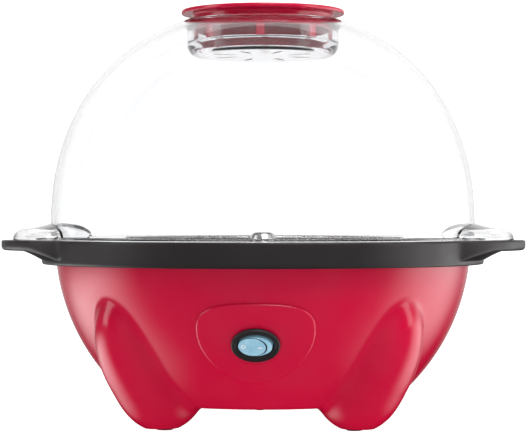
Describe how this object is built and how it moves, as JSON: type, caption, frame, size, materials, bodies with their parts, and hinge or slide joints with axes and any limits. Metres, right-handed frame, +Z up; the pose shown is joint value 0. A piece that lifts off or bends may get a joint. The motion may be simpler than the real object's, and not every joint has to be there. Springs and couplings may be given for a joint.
{
  "type": "stirring popcorn maker",
  "caption": "Stirring popcorn maker: bowl-shaped base on feet, rim with handles, motor-driven rod on a heated plate, clear lift-off dome with a vented cap.",
  "frame": {"origin": "centre of the overall box at the level of the feet, under the middle of the base", "axes": "+Z up, X along the two handles, the switch faces -Y"},
  "size_m": [0.2996, 0.252, 0.2349],
  "materials": {
    "red_plastic": "glossy moulded polypropylene",
    "black_plastic": "satin moulded phenolic",
    "foot_rubber": "matt",
    "clear_plastic": "clear polished",
    "nonstick": "dark nonstick coating",
    "bright_steel": "bright",
    "zinc_steel": "zinc plated",
    "aluminium": "plain",
    "copper": "enamelled winding",
    "white_nylon": "natural",
    "blue_plastic": "translucent, lit",
    "ceramic": "unglazed",
    "silicone": "soft",
    "lead_sleeve": "braided sleeve"
  },
  "bodies": {
    "base": {"base_housing": "red_plastic", "bottom_cover": "black_plastic", "rim_ring": "black_plastic", "switch_bezel": "black_plastic", "cord_gland": "black_plastic", "switch_body": "black_plastic", "heating_plate": "nonstick", "heating_element": "bright_steel", "shaft_bush": "bright_steel", "heat_shield": "zinc_steel", "motor_bracket": "zinc_steel", "gearbox_case": "zinc_steel", "gearbox_lid": "zinc_steel", "motor_can": "zinc_steel", "thermal_fuse": "aluminium", "stator_coil": "copper", "gland_nut": "white_nylon", "terminal_block": "white_nylon", "thermostat": "ceramic", "plate_gasket": "silicone", "switch_lead": "lead_sleeve", "motor_lead": "lead_sleeve", "heater_lead": "lead_sleeve", "foot_pad_1": "foot_rubber", "cover_screw_1": "zinc_steel", "rim_screw_1": "zinc_steel", "foot_pad_2": "foot_rubber", "cover_screw_2": "zinc_steel", "rim_screw_2": "zinc_steel", "foot_pad_3": "foot_rubber", "cover_screw_3": "zinc_steel", "rim_screw_3": "zinc_steel", "foot_pad_4": "foot_rubber", "cover_screw_4": "zinc_steel", "rim_screw_4": "zinc_steel", "shield_screw_1": "zinc_steel", "shield_screw_2": "zinc_steel", "shield_screw_3": "zinc_steel", "gearbox_screw_1": "zinc_steel", "gearbox_screw_2": "zinc_steel"},
    "stirrer": {"drive_shaft": "bright_steel", "output_gear": "white_nylon", "stirring_rod": "bright_steel", "rod_hub": "bright_steel"},
    "rotor": {"motor_rotor": "bright_steel", "rotor_pinion": "white_nylon"},
    "rocker_body": {"rocker": "blue_plastic"},
    "dome_body": {"dome": "clear_plastic", "butter_well": "clear_plastic"},
    "cap_body": {"cap": "red_plastic"}
  },
  "joints": [
    {"name": "stirrer_spin", "type": "hinge", "parent": "base", "child": "stirrer", "pos_m": [0, 0, 0.09], "axis": [0, 0, 1], "continuous": true},
    {"name": "motor_spin", "type": "hinge", "parent": "base", "child": "rotor", "pos_m": [0, 0.02625, 0.06], "axis": [0, 0, 1], "continuous": true},
    {"name": "rocker_tilt", "type": "hinge", "parent": "base", "child": "rocker_body", "pos_m": [0, -0.10681, 0.05018], "axis": [0, -0.4513, 0.8924], "range_deg": [0, 15]},
    {"name": "dome_lift", "type": "slide", "parent": "base", "child": "dome_body", "axis": [0, 0, 1], "range_m": [0, 0.15]},
    {"name": "cap_lift", "type": "slide", "parent": "dome_body", "child": "cap_body", "axis": [0, 0, 1], "range_m": [0, 0.04]}
  ],
  "couplings": [
    {"joint": "motor_spin", "follows": "stirrer_spin", "ratio": -3.2}
  ]
}
